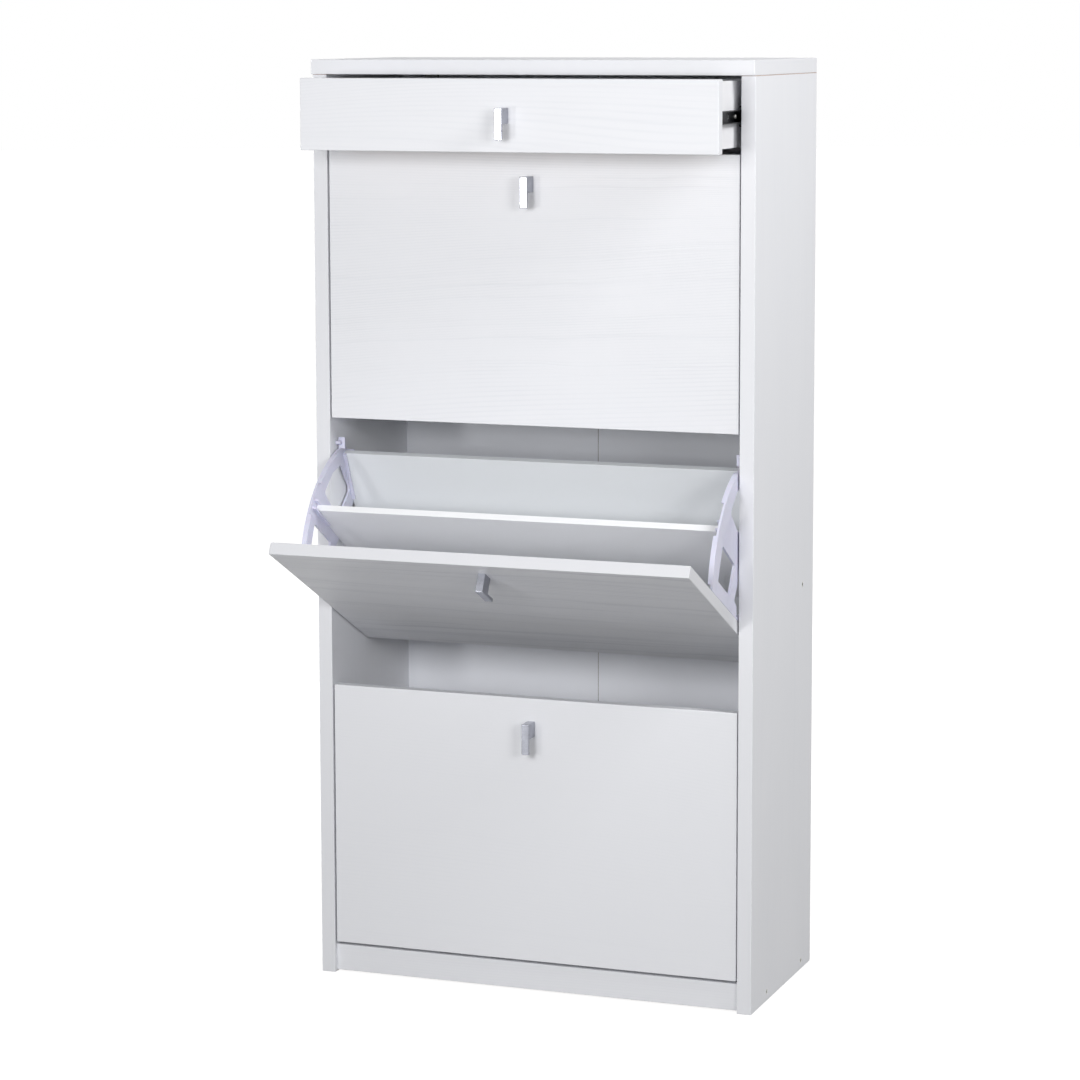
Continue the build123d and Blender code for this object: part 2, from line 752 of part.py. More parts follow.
def make_slide():
    """Inner member, fixed to the drawer side; shown with the drawer closed."""
    top = slide_height / 2
    tip = runner_space - slide_reach
    outline = mirrored([
        (runner_space, top), (tip, top),
        (tip, top - runner_steel), (runner_space - runner_steel, top - runner_steel),
    ])
    slide = runner_section(outline, runner_length, runner_y)
    long_edges = slide.edges().filter_by(Axis.Y)
    corner = long_edges.filter_by(lambda e: abs(e.center().X - drawer_half) < 0.01)
    slide = fillet(corner, runner_steel * 0.8)
    for y in slide_screw_y:
        slide -= slide_screw(y, fit)
    for place in slide_slots_at:
        slot_plane = Plane((drawer_half, runner_y + place, runner_z), z_dir=(1, 0, 0))
        slot = slot_plane * SlotOverall(*slide_slot)
        slide -= extrude(slot, amount=runner_steel)
    return slide


def make_cage():
    """Ball cage between the two members, with its balls; drawer closed."""
    near_wall = runner_steel + 0.35
    reach = channel_reach - runner_steel - 0.6
    row = ball_row
    outline = mirrored([
        (near_wall, row + cage_wall / 2), (reach, row + cage_wall / 2), (reach, row - cage_wall / 2),
        (near_wall + cage_wall, row - cage_wall / 2),
    ])
    cage = runner_section(outline, cage_length, cage_front)
    balls = []
    first = cage_front + (cage_length - (balls_in_row - 1) * ball_pitch) / 2
    for index in range(balls_in_row):
        for side in (-1, 1):
            centre = (inner - ball_u, first + index * ball_pitch, runner_z + side * row)
            cage -= rod((centre[0], centre[1], centre[2] - 1), (0, 0, 1), ball_radius + 0.15, 2)
            balls.append(Pos(*centre) * Sphere(ball_radius))
    return [cage] + balls


# ---- assembly ------------------------------------------------------------------------
def rest_pose(name):
    """Move one closed rack to its compartment, and open it if it rests open."""
    place = Pos(0, front_y, flap_bottom[name])
    if not rack_open[name]:
        return place
    hinge = Pos(0, *pivot)
    return place * hinge * Rot(open_angle, 0, 0) * Pos(0, -pivot[0], -pivot[1])


def solids_of(part):
    """Every solid of a part or of a list of parts."""
    if isinstance(part, (list, tuple)):
        return [solid for item in part for solid in solids_of(item)]
    return list(part.solids())


def front_reach():
    """Foremost y of the object at rest: the top edge of an open flap."""
    turn = math.radians(open_angle)
    corner_y = -pivot_depth * math.cos(turn) - (flap_height - pivot_height) * math.sin(turn)
    open_flap = front_y + pivot_depth + corner_y
    return min(open_flap if any(rack_open.values()) else 0, front_y - drawer_out - handle_projection)


def build():
    """All nodes at rest, as a dictionary from node name to solids."""
    side = make_side_panel()
    sheet = make_back_sheet()
    bracket = make_wall_bracket()
    channel = make_channel()
    nodes = {
        "top_panel": make_top_panel(),
        "side_panel_right": side,
        "side_panel_left": mirror(side, about=Plane.YZ),
        "bottom_panel": make_cross_board(bottom_y, (plinth_lift, plinth_lift + board)),
        "plinth": make_cross_board(plinth_y_range, (plinth_lift, plinth_lift + plinth_height)),
        "rear_rail": make_cross_board((back_y - rail_depth, back_y), (rail_height, rail_height + board)),
        "back_sheet_right": sheet,
        "back_sheet_left": mirror(sheet, about=Plane.YZ),
        "back_joint_strip": make_joint_strip(),
        "wall_brackets": both_sides(bracket),
        "runner_channel_right": channel,
        "runner_channel_left": mirror(channel, about=Plane.YZ),
        "pivot_pins": pins(pivot_place, pivot_reach),
        "stop_pins": pins(stop_place, stop_reach),
    }
    confirmats = []
    for y, z in [(y, bottom_z) for y in confirmat_y] + [(rail_y, rail_z)]:
        start = (half, y, z)
        socket = Plane(start, z_dir=(-1, 0, 0)) * RegularPolygon(hex_socket_radius, 6)
        confirmats += both_sides(confirmat(start, (-1, 0, 0)) - extrude(socket, amount=hex_socket_depth))
    dowels = []
    for y, z in [(plinth_y, z) for z in plinth_dowel_z] + [(rail_dowel_y, rail_z)]:
        dowels += both_sides(rod((inner + dowel_embed, y, z), (-1, 0, 0), dowel_radius, dowel_length))
    for y in top_dowel_y:
        start = (half - board / 2, y, under_top + dowel_embed)
        dowels += both_sides(rod(start, (0, 0, -1), dowel_radius, dowel_length))
    nodes["confirmat_screws"] = confirmats
    nodes["carcass_dowels"] = dowels
    nodes["cam_locks"] = [piece for y in cam_y for piece in both_sides(cam_lock(y))]
    nodes["cam_bolts"] = [piece for y in cam_y for piece in both_sides(cam_bolt(y))]
    channel_starts = [channel_screw_start(y) for y in channel_screw_y]
    channel_screws = [flat_screw(start, (1, 0, 0), runner_screw_length) for start in channel_starts]
    nodes["runner_channel_screws"] = [piece for screw in channel_screws for piece in both_sides(screw)]
    nodes["wall_bracket_screws"] = []
    for x in bracket_screw_x:
        recess = cross_recess((x, back_y - bracket_leg * 0.6, under_top - bracket_steel), (0, 0, 1))
        nodes["wall_bracket_screws"] += both_sides(bracket_screw(x) - recess)

    out = Pos(0, -drawer_out, 0)
    drawer_side = make_drawer_side()
    slide = make_slide()
    drawer = {
        "drawer_front": make_drawer_front(),
        "drawer_side_right": drawer_side,
        "drawer_side_left": mirror(drawer_side, about=Plane.YZ),
        "drawer_back": make_drawer_back(),
        "drawer_bottom": drawer_sheet_block(),
        "drawer_handle": Pos(0, front_y, 0) * make_handle(drawer_handle_top),
        "drawer_dowels": [piece for z in drawer_dowel_z for piece in both_sides(drawer_dowel(z))],
        "drawer_cam_locks": both_sides(drawer_cam()),
        "drawer_cam_bolts": both_sides(drawer_cam_bolt()),
        "runner_slide_right": slide,
        "runner_slide_left": mirror(slide, about=Plane.YZ),
        "runner_slide_screws": [piece for y in slide_screw_y for piece in both_sides(slide_screw(y))],
    }
    screws = [piece for z in drawer_screw_z for piece in both_sides(drawer_back_screw(z))]
    drawer["drawer_screws"] = screws + [Pos(0, front_y, 0) * handle_screw(drawer_handle_top - stem_drop)]
    for node, part in drawer.items():
        nodes[node] = [out * solid for solid in solids_of(part)]
    cage = [Pos(0, -drawer_out / 2, 0) * piece for piece in make_cage()]
    nodes["ball_cage_right"] = cage
    nodes["ball_cage_left"] = [mirror(piece, about=Plane.YZ) for piece in cage]

    frame = make_side_frame()
    handle_top = flap_height - handle_below_top
    rack_screw_set = [piece for screw in rack_screws() for piece in both_sides(screw)]
    rack = {
        "flap": make_flap(),
        "frame_right": frame,
        "frame_left": mirror(frame, about=Plane.YZ),
        "middle_board": make_middle_board(),
        "rear_board": make_rear_board(),
        "toe_board": make_toe_board(),
        "handle": make_handle(handle_top),
        "screws": rack_screw_set + [handle_screw(handle_top - stem_drop)],
    }
    for name in racks:
        place = rest_pose(name)
        for piece, part in rack.items():
            nodes[f"{name}_{piece}"] = [place * solid for solid in solids_of(part)]
    return nodes


def main():
    os.makedirs("parts", exist_ok=True)
    centre = Pos(0, -(front_reach() + side_depth) / 2, 0)
    for node, part in build().items():
        solids = [centre * solid for solid in solids_of(part)]
        shape = solids[0] if len(solids) == 1 else Compound(children=solids)
        export_step(shape, f"parts/{node}.step")
    pivot_y = front_y + pivot_depth - (front_reach() + side_depth) / 2
    origin = (front_reach() + side_depth) / 2
    print("height", round(height, 3), "origin behind the side fronts", round(origin, 3))
    for name in racks:
        print(name, "pivot y", round(pivot_y, 3), "z", round(flap_bottom[name] + pivot_height, 3))


main()
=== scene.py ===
# %% [markdown]
# # A white shoe cabinet, dressed
# The construction is already made: every board, moulding, runner and screw comes in as a
# solid of its own, at its real size, and none of them is moved here. What is left to do is
# what a maker would call finishing: the embossed foil on the boards, the chipboard that shows
# where a board is cut and not edged, the moulded plastic of the tip-out racks, the plated
# metal of the pulls and runners, and the light. The first cell loads the construction and
# keeps its overall box, so that the last cell can show that nothing has grown.

# %% Load the construction
import json
import math

import bmesh
import bpy
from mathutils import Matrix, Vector


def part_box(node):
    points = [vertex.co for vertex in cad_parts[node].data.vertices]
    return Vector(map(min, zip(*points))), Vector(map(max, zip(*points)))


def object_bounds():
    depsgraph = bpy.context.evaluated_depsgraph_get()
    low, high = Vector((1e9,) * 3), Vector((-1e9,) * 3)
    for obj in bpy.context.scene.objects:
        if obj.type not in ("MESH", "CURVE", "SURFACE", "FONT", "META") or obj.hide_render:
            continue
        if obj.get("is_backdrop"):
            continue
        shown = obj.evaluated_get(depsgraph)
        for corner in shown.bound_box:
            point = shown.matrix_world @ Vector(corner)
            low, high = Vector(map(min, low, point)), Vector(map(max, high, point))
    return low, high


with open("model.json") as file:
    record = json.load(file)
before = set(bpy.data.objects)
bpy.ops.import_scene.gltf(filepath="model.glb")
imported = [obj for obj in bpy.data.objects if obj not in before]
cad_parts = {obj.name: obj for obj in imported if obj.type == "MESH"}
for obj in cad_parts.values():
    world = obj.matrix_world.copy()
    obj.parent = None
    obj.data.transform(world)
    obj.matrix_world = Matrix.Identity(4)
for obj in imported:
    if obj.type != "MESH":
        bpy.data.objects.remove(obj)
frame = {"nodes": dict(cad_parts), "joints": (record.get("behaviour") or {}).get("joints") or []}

cad_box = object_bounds()
nodes = frame["nodes"]
joints = {joint["name"]: joint for joint in frame["joints"]}
racks = ("upper", "middle", "lower")
print("pieces of construction:", len(nodes))
print("overall size in mm:", [round(1000 * s) for s in cad_box[1] - cad_box[0]])

# %% [markdown]
# ## Where things are
# Places on the cabinet are read from the construction, never typed in. The front edges of the
# side panels are the plane that the camera's distance is measured from. One rack is shown
# tipped open, so its pieces lie at an angle: a grain that runs across a flap has to be drawn in
# the flap's own upright position and tipped with it. The angle is the one that its hinge still
# has to travel back.

# %% Planes and angles that later cells use
side_low, side_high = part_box("side_panel_right")
front_plane = side_low.y


def open_now(rack):
    """How far a rack is tipped open at rest, in degrees."""
    return -joints[f"{rack}_rack_tilt"]["range_deg"][0]


tip = {rack: open_now(rack) for rack in racks}
print("tipped open, degrees:", tip)

# %% [markdown]
# ## A small language for shaders
# A finish is a graph of nodes, and graphs are tedious to write by hand. A value in the graph
# is wrapped in a class that knows its arithmetic, so `1 - mask * 0.3` builds the Math nodes
# by itself. Every other node comes from one method, which takes the kind of node, its
# settings, and what goes into its sockets. Colours and vectors never go through a Math node,
# because that would turn a colour grey.


# %% The value class
class Value:
    """One socket of a finish. Arithmetic on it adds the Math nodes."""

    def __init__(self, graph, socket):
        self.graph = graph
        self.socket = socket

    def maths(self, operation, *values):
        return self.graph.node("Math", {"operation": operation}, dict(enumerate(values)))

    def __add__(self, other):
        return self.maths("ADD", self, other)

    __radd__ = __add__

    def __sub__(self, other):
        return self.maths("SUBTRACT", self, other)

    def __rsub__(self, other):
        return self.maths("SUBTRACT", other, self)

    def __mul__(self, other):
        return self.maths("MULTIPLY", self, other)

    __rmul__ = __mul__

    def __truediv__(self, other):
        return self.maths("DIVIDE", self, other)

    def __rtruediv__(self, other):
        return self.maths("DIVIDE", other, self)

    def __pow__(self, other):
        return self.maths("POWER", self, other)

    def __abs__(self):
        return self.maths("ABSOLUTE", self)

    def __gt__(self, other):
        return self.maths("GREATER_THAN", self, other)

    def most(self, other):
        return self.maths("MAXIMUM", self, other)

    def sine(self):
        return self.maths("SINE", self)

    def between(self, low, high):
        """0 at low, 1 at high, smooth between them."""
        return self.graph.node(
            "MapRange",
            {"interpolation_type": "SMOOTHSTEP"},
            {"Value": self, "From Min": low, "From Max": high},
        )


# %% The graph class
class Graph:
    """A tree of shader nodes, and the one method that adds to it."""

    def __init__(self, tree):
        self.tree = tree

    def node(self, kind, settings=None, inputs=None, output=0):
        """Adds a node: its settings first, then the values or links of its sockets."""
        made = self.tree.nodes.new("ShaderNode" + kind)
        for key, value in (settings or {}).items():
            if key == "stops":
                self.stops(made.color_ramp, value)
            else:
                setattr(made, key, value)
        for key, value in (inputs or {}).items():
            self.plug(made.inputs[key], value)
        return Value(self, made.outputs[output])

    def plug(self, socket, value):
        if isinstance(value, Value):
            self.tree.links.new(value.socket, socket)
        else:
            socket.default_value = value

    def stops(self, ramp, stops):
        while len(ramp.elements) < len(stops):
            ramp.elements.new(0.5)
        for element, (place, colour) in zip(ramp.elements, stops):
            element.position = place
            element.color = (*colour, 1.0)

    def blend(self, amount, first, second):
        """A colour between two others."""
        inputs = {0: amount, 6: opaque(first), 7: opaque(second)}
        return self.node("Mix", {"data_type": "RGBA"}, inputs, 2)

    def vector(self, x, y, z):
        return self.node("CombineXYZ", None, {0: x, 1: y, 2: z})

    def scaled(self, position, rate):
        """A position stretched so that one step of a pattern takes 1 / rate metres."""
        return self.vector(*(part * rate for part in position))

    def noise(self, vector, detail=2.0, roughness=0.5, distortion=0.0):
        inputs = {"Vector": vector, "Scale": 1.0, "Detail": detail}
        inputs.update({"Roughness": roughness, "Distortion": distortion})
        return self.node("TexNoise", None, inputs)

    def axes(self, vector):
        """The three parts of a vector."""
        made = self.node("SeparateXYZ", None, {0: vector})
        return [Value(self, socket) for socket in made.socket.node.outputs]

    def backdrop_ray(self):
        """1 for the rays that should meet the white background itself, else 0."""
        kinds = ("Is Camera Ray", "Is Glossy Ray", "Is Transmission Ray")
        camera_ray, glossy_ray, clear_ray = (self.node("LightPath", None, None, kind) for kind in kinds)
        return camera_ray.most(glossy_ray).most(clear_ray)


# %% The finish class
class Finish(Graph):
    """A material: its Principled shader and the nodes that feed it."""

    def __init__(self, name, **constants):
        self.material = bpy.data.materials.new(name)
        self.material.use_nodes = True
        super().__init__(self.material.node_tree)
        self.shader = self.tree.nodes["Principled BSDF"]
        for socket, value in constants.items():
            self.set(socket.replace("_", " "), value)

    def set(self, socket, value):
        self.plug(self.shader.inputs[socket], value)

    def upright(self, output, tipped=0.0):
        """Position or normal of the surface, with the board turned back upright."""
        vector = self.node("TexCoord", None, None, output)
        if tipped:
            turn = {"rotation_type": "X_AXIS"}
            angle = -math.radians(tipped)
            vector = self.node("VectorRotate", turn, {"Vector": vector, "Angle": angle})
        return self.axes(vector)

    def cover(self, colour, height, rough, depth, strength):
        """Sets what varies over a surface. A height of 1 stands for a depth in metres."""
        self.set("Base Color", colour)
        self.set("Roughness", rough)
        inputs = {"Strength": strength, "Distance": depth, "Height": height}
        self.set("Normal", self.node("Bump", None, inputs))


def opaque(colour):
    return colour if isinstance(colour, Value) else (*colour, 1.0)


def shade(red, green, blue):
    """A colour as it is read off a screen, 0 to 255, turned into light."""
    parts = (red / 255, green / 255, blue / 255)
    return tuple(((c + 0.055) / 1.055) ** 2.4 if c > 0.04 else c / 12.92 for c in parts)


# %% [markdown]
# ## Chipboard
# The boards are particle board: chips of wood pressed with glue, pale brown, darker between
# the chips. It shows only where a board is cut and has no edge band, as along the rear edges
# of the side panels and on the faces they stand on. Cells of a Voronoi pattern make the
# chips, each with a tone of its own, and a coarse noise gives the open middle layer.


# %% The chipboard colour
chips_per_metre = 520.0
clumps_per_metre = 140.0
chip_share = 0.65              # of the tone that comes from single chips, not from clumps
chip_tones = [(0.15, shade(126, 92, 60)), (0.55, shade(176, 142, 104)), (0.9, shade(205, 178, 142))]
cut_roughness = 0.4            # how much rougher a cut is than the facing
faces_that_way = 0.7           # how far a normal has to point along an axis


def chipboard(finish, position):
    """Colour and height of a cut chipboard edge."""
    cells = {"Vector": finish.scaled(position, chips_per_metre), "Scale": 1.0, "Randomness": 1.0}
    chip_tone = finish.node("TexVoronoi", None, cells, "Color")
    clumps = finish.noise(finish.scaled(position, clumps_per_metre), 3.0)
    mixed = finish.axes(chip_tone)[0] * chip_share + clumps * (1 - chip_share)
    return finish.node("ValToRGB", {"stops": chip_tones}, {0: mixed}), mixed


def show_cuts(finish, position, normal, raw, surface, chip_relief):
    """Puts chipboard on the faces that look one of the ways in raw, a list of (axis, sign).

    surface is the colour, the height and the roughness of the board's facing.
    """
    colour, height, rough = surface
    faces = [normal[axis] * sign > faces_that_way for axis, sign in raw]
    cut = sum(faces[1:], faces[0])
    wood, chips = chipboard(finish, position)
    colour = finish.blend(cut, colour, wood)
    return colour, height + cut * chips * chip_relief, rough + cut * cut_roughness


# %% [markdown]
# ## White ash foil
# The boards that show are faced with a white foil pressed with the pattern of ash. Two things
# make ash look like ash. The year rings are cut at a low angle, so they run straight near the
# edges of a board and close into long arches, the cathedrals, near its middle. The pores lie
# along the early wood of each ring as short fine scratches, ten times longer than wide or
# more. The rings here are the contour lines of a slow noise that is stretched along the
# board, which close into arches by themselves, and the pores are a fast noise that is
# stretched even further and is let through only near the rings. White foil has hardly any
# colour in its grain: it is relief, so most of it goes into the bump. Broad streaks follow
# the rings, where the press went deeper.

# %% The ash pattern
rings_per_metre = 240.0
ring_drift = 58.0              # how many rings the slow noise moves the pattern by
ring_wobble = 0.35             # and how much of a ring the fast noise does
drift_sway = 0.16              # metres that the streaks move with the rings
ripple_sway = 0.016            # metres that they ripple by themselves
streak_length_rate = 1.3
pore_range = (0.5, 0.7)        # of the noise, from no pore to a full one
worn_range = (0.2, 0.75)       # from no grain at all to the full grain
streak_range = (0.5, 0.75)
ring_mark = 0.55               # how strong the early wood is, from 0 to 1
pore_mark = (0.4, 0.1)         # how strong pores are in the early wood, and anywhere
fine_part = (0.8, 0.3)         # what the fine grain adds to the dark, and to the depth
streak_depth = 0.7
# How often each noise changes in a metre along the board and across it, its own offset from
# the board's seed, and then its detail and roughness.
drift_noise = (0.7, 3.2, 0.0, 1.0, 0.4)
wobble_noise = (5.0, 60.0, 7.0)
patch_noise = (6.0, 16.0, 9.0)
scratch_noise = (30.0, 1700.0, 3.0, 2.0, 0.6)
ripple_noise = (8.0, 14.0, 2.0, 1.0)


def ash(finish, along, across, seed, streak_rate, streak_part):
    """How dark and how deep the pressed grain is, 0 to 1, from two lengths in metres."""

    def pattern(along_rate, across_rate, offset, *quality):
        place = finish.vector(along * along_rate, across * across_rate, seed + offset)
        return finish.noise(place, *quality)

    drift = pattern(*drift_noise)
    ring = across * rings_per_metre + drift * ring_drift + pattern(*wobble_noise) * ring_wobble
    early_wood = ((ring * (2 * math.pi)).sine() * 0.5 + 0.5) ** 3.0
    pores = pattern(*scratch_noise).between(*pore_range) * (early_wood * pore_mark[0] + pore_mark[1])
    fine_grain = (early_wood * ring_mark + pores) * pattern(*patch_noise).between(*worn_range)
    sway = drift * drift_sway + pattern(*ripple_noise) * ripple_sway
    place = finish.vector(along * streak_length_rate, (across + sway) * streak_rate, seed + 5.0)
    streaks = finish.noise(place, 3.0, 0.65).between(*streak_range)
    dark = fine_grain * fine_part[0] + streaks * streak_part
    return dark, fine_grain * fine_part[1] + streaks * streak_depth


# %% The foil finish for one board
foil_white = shade(238, 239, 243)
foil_grain = shade(229, 231, 236)
band_white = shade(235, 236, 240)
glue_line = shade(184, 158, 152)
glue_line_strength = 0.8
foil_thickness = 0.0009
foil_shine = 0.42
foil_roughness = 0.4
grain_roughness = 0.12         # added where the grain is printed
cloud_roughness = 0.06         # and in slow clouds all over the board
foil_clouds = 6.0              # clouds in a metre
foil_relief = 0.00016          # metres
relief_strength = 0.8
foil_chip_relief = 0.8         # of chips in a cut, in the same measure
plain_streaks = (130.0, 0.3)   # streaks in a metre, and how dark they are
X, Y, Z = 0, 1, 2


def foil(
    name, face, along, raw=(), tipped=0.0, seed=0.0, arris=None,
    grain=1.0, streaky=plain_streaks, ink_and_shade=foil_grain, band=band_white,
):
    """Foil on a board: its face and grain lie along the given axes.

    raw lists the outward directions, as (axis, sign), in which the cut chipboard shows.
    arris is the height of a cut edge where the thickness of the foil shows as a thin line.
    streaky says how many broad streaks there are in a metre and how dark they are, then comes
    the colour that the grain is printed in, and band the colour of the edges. Where a caller makes
    these darker, as on the tipped middle flap, the extra dark is painted shade.
    """
    finish = Finish(name, Specular_IOR_Level=foil_shine)
    position = finish.upright("Object", tipped)
    normal = finish.upright("Normal", tipped)
    across = 3 - face - along
    on_face = abs(normal[face]) > faces_that_way
    dark, deep = ash(finish, position[along], position[across], seed, *streaky)
    dark = dark * on_face
    cloud = finish.noise(finish.scaled(position, foil_clouds), 3.0)
    colour = finish.blend(dark * grain, foil_white, ink_and_shade)
    colour = finish.blend(1 - on_face, colour, band)
    if arris:
        line = position[Z] > arris - foil_thickness
        colour = finish.blend(line * glue_line_strength, colour, glue_line)
    rough = foil_roughness + dark * grain_roughness + cloud * cloud_roughness
    surface = (colour, 1 - deep * on_face, rough)
    if raw:
        surface = show_cuts(finish, position, normal, raw, surface, foil_chip_relief)
    finish.cover(*surface, foil_relief * grain, relief_strength)
    return finish.material


# %% [markdown]
# ## Putting the foil on the boards
# Each board has its own piece of foil, so each gets its own seed: the arches then fall
# differently on every front, as they do when fronts are cut from one long sheet. The fronts
# carry the grain level, the sides upright. The lowest front has the faintest grain. The middle
# flap, which stands tipped open, has a darker grain, darker and broader streaks and darker
# edges: this extra dark is painted shade, for its relief and edges in grazing light.

# %% Foil on the fronts and the carcass
dressed = {}


def finish_node(node, material):
    """Gives a whole piece of the construction one finish."""
    mesh = nodes[node].data
    mesh.materials.clear()
    mesh.materials.append(material)
    dressed[node] = material.name


def wearing(word):
    """The pieces whose finish has this word in its name."""
    return [node for node, finish in dressed.items() if word in finish]


flap_prints_and_shades = {
    "upper": {"seed": 11.3},
    "middle": {
        # painted shade: on the tipped middle flap the darker grain colour, the darker streaks and the
        # darker edge band stand in for the shade of its relief and edges
        "seed": 15.4,
        "streaky": (84.0, 0.42),
        "ink_and_shade": shade(206, 208, 214),
        "band": shade(222, 223, 227),
    },
    "lower": {"seed": 19.5, "grain": 0.3},
}
for rack, print_and_shade_of_flap in flap_prints_and_shades.items():
    flap_foil = foil(f"ash_foil_{rack}_flap", Y, X, tipped=tip[rack], **print_and_shade_of_flap)
    finish_node(f"{rack}_flap", flap_foil)
finish_node("drawer_front", foil("ash_foil_drawer_front", Y, X, seed=3.7, grain=0.8))
finish_node("top_panel", foil("ash_foil_top", Z, X, raw=[(Y, 1)], seed=31.0))
finish_node("plinth", foil("ash_foil_plinth", Y, X, raw=[(Z, -1)], seed=27.5, grain=0.5))
side_print = {"raw": [(Y, 1), (Z, 1), (Z, -1)], "grain": 0.7, "arris": side_high.z}
for side, seed in (("left", 41.0), ("right", 57.0)):
    side_foil = foil(f"ash_foil_side_{side}", X, Z, seed=seed, **side_print)
    finish_node(f"side_panel_{side}", side_foil)
print("foil on", len(dressed), "boards:", ", ".join(dressed))

# %% [markdown]
# ## Plain white boards
# Boards that are only seen when something is open are faced with plain white melamine: a hard
# resin skin with a very fine even pebble, without grain. The rack boards, the drawer box, the
# bottom panel and the rear rail have it.

# %% Melamine
melamine_shine = 0.45
melamine_pebble = 1400.0       # per metre
melamine_clouds = 5.0          # per metre
cloud_darkening = 0.95
pebble_roughness = (0.36, 0.12)    # in the hollows, and what the tops add
pebble_relief = (0.00003, 0.6)     # metres, and strength
melamine_chip_relief = 3.0


def melamine(name, tone, raw=()):
    """A plain board; raw is as for the foil."""
    finish = Finish(name, Specular_IOR_Level=melamine_shine)
    position = finish.upright("Object")
    pebble = finish.noise(finish.scaled(position, melamine_pebble))
    cloud = finish.noise(finish.scaled(position, melamine_clouds), 3.0)
    darker = tuple(cloud_darkening * part for part in tone)
    rough = pebble_roughness[0] + pebble * pebble_roughness[1]
    surface = (finish.blend(cloud * 0.5, tone, darker), pebble, rough)
    if raw:
        normal = finish.upright("Normal")
        surface = show_cuts(finish, position, normal, raw, surface, melamine_chip_relief)
    finish.cover(*surface, *pebble_relief)
    return finish.material


plain_white = shade(243, 243, 246)
rack_finishes = {
    "middle_board": melamine("rack_melamine", shade(240, 241, 243)),
    # painted shade: the rear board gets a greyer white for the light that falls less on it inside the
    # rack
    "rear_board": melamine("rack_rear_melamine", shade(225, 228, 231)),
    "toe_board": melamine("rack_toe_melamine", shade(236, 238, 241)),
}
for rack in racks:
    for board, rack_finish in rack_finishes.items():
        finish_node(f"{rack}_{board}", rack_finish)
board_finish = melamine("white_melamine", plain_white)
for board in ("drawer_side_left", "drawer_side_right", "drawer_back"):
    finish_node(board, board_finish)
cut_board = melamine("white_melamine_cut", plain_white, raw=[(Y, 1), (Z, -1)])
for board in ("bottom_panel", "rear_rail"):
    finish_node(board, cut_board)
print("melamine on:", wearing("melamine"))

# %% [markdown]
# ## Hardboard
# The back and the drawer's bottom are 3 mm hardboard, lacquered white on the side that shows.
# The other side stays brown: wood fibre cooked and pressed, with darker fibres scattered in
# it. Which side a point lies on is told by its normal.

# %% Hardboard with one lacquered side
fibres_per_metre = 900.0
fibre_patches = 14.0           # per metre
fibre_share = 0.7              # of the brown that comes from single fibres, not from patches
fibre_tones = [(0.3, shade(96, 70, 48)), (0.55, shade(138, 106, 76)), (0.75, shade(160, 130, 98))]
lacquer_light = shade(238, 240, 246)
lacquer_dark = shade(234, 236, 242)
bare_roughness = 0.75
lacquer_smoothing = 0.28       # what the lacquer takes off that
fibre_relief = (0.00004, 0.6)  # metres, and strength


def hardboard(name, axis, sign):
    """axis and sign give the direction that the lacquered side faces."""
    finish = Finish(name)
    position = finish.upright("Object")
    lacquered = finish.upright("Normal")[axis] * sign > 0.5
    fibre = finish.noise(finish.scaled(position, fibres_per_metre), 4.0, 0.7)
    patch = finish.noise(finish.scaled(position, fibre_patches), 3.0)
    mixed = fibre * fibre_share + patch * (1 - fibre_share)
    brown = finish.node("ValToRGB", {"stops": fibre_tones}, {0: mixed})
    white = finish.blend(patch, lacquer_light, lacquer_dark)
    colour = finish.blend(lacquered, brown, white)
    rough = bare_roughness - lacquered * lacquer_smoothing
    finish.cover(colour, fibre, rough, *fibre_relief)
    return finish.material


back_finish = hardboard("hardboard_back", Y, -1)
finish_node("back_sheet_left", back_finish)
finish_node("back_sheet_right", back_finish)
finish_node("drawer_bottom", hardboard("hardboard_drawer_bottom", Z, 1))
print("hardboard on:", wearing("hardboard"))

# %% [markdown]
# ## Moulded plastic
# The side frames of the racks are injection moulded in an off-white plastic that looks
# slightly lilac beside the foil. A mould leaves a fine even frosting and faint flow, and the
# plastic is a little soft to light. The strip that joins the two halves of the back is plain
# extruded white.

# %% Plastic finishes
plastic_softness = {"Subsurface_Weight": 0.04, "Subsurface_Scale": 0.003}
frosting = 1800.0              # per metre
flow_marks = 22.0              # per metre
flow_swirl = 1.2
flow_range = (0.3, 0.8)
flow_share = 0.4               # of the relief
frost_roughness = 0.1
frost_relief = (0.00002, 0.5)  # metres, and strength


def plastic(name, tone, flow_tone, roughness):
    """Moulded or extruded plastic, with marks where it flowed."""
    finish = Finish(name, **plastic_softness)
    position = finish.upright("Object")
    frost = finish.noise(finish.scaled(position, frosting))
    flow = finish.noise(finish.scaled(position, flow_marks), 2.0, 0.5, flow_swirl)
    colour = finish.blend(flow.between(*flow_range), tone, flow_tone)
    rough = roughness + frost * frost_roughness
    finish.cover(colour, frost + flow * flow_share, rough, *frost_relief)
    return finish.material


frame_plastic = plastic("moulded_plastic", shade(218, 218, 235), shade(209, 209, 228), 0.36)
strip_plastic = plastic("extruded_strip", shade(226, 226, 226), shade(220, 220, 220), 0.5)
for rack in racks:
    for side in ("left", "right"):
        finish_node(f"{rack}_frame_{side}", frame_plastic)
finish_node("stop_pins", frame_plastic)
finish_node("back_joint_strip", strip_plastic)
print("moulded plastic on:", wearing("moulded"))

# %% [markdown]
# ## Metals
# The pulls are satin and silver coloured, the runners black zinc over steel, and the
# screws, pins and brackets bright zinc. Metal lives from its reflections, so the detail goes
# into the roughness: fine brushing on the pulls, a crystalline patchiness on zinc.

# %% Metal finishes
brushing = 2500.0              # per metre
brush_roughness = 0.05
brush_relief = (0.00001, 0.4)  # metres, and strength
patch_range = (0.3, 0.7)
patch_darkening = 0.82


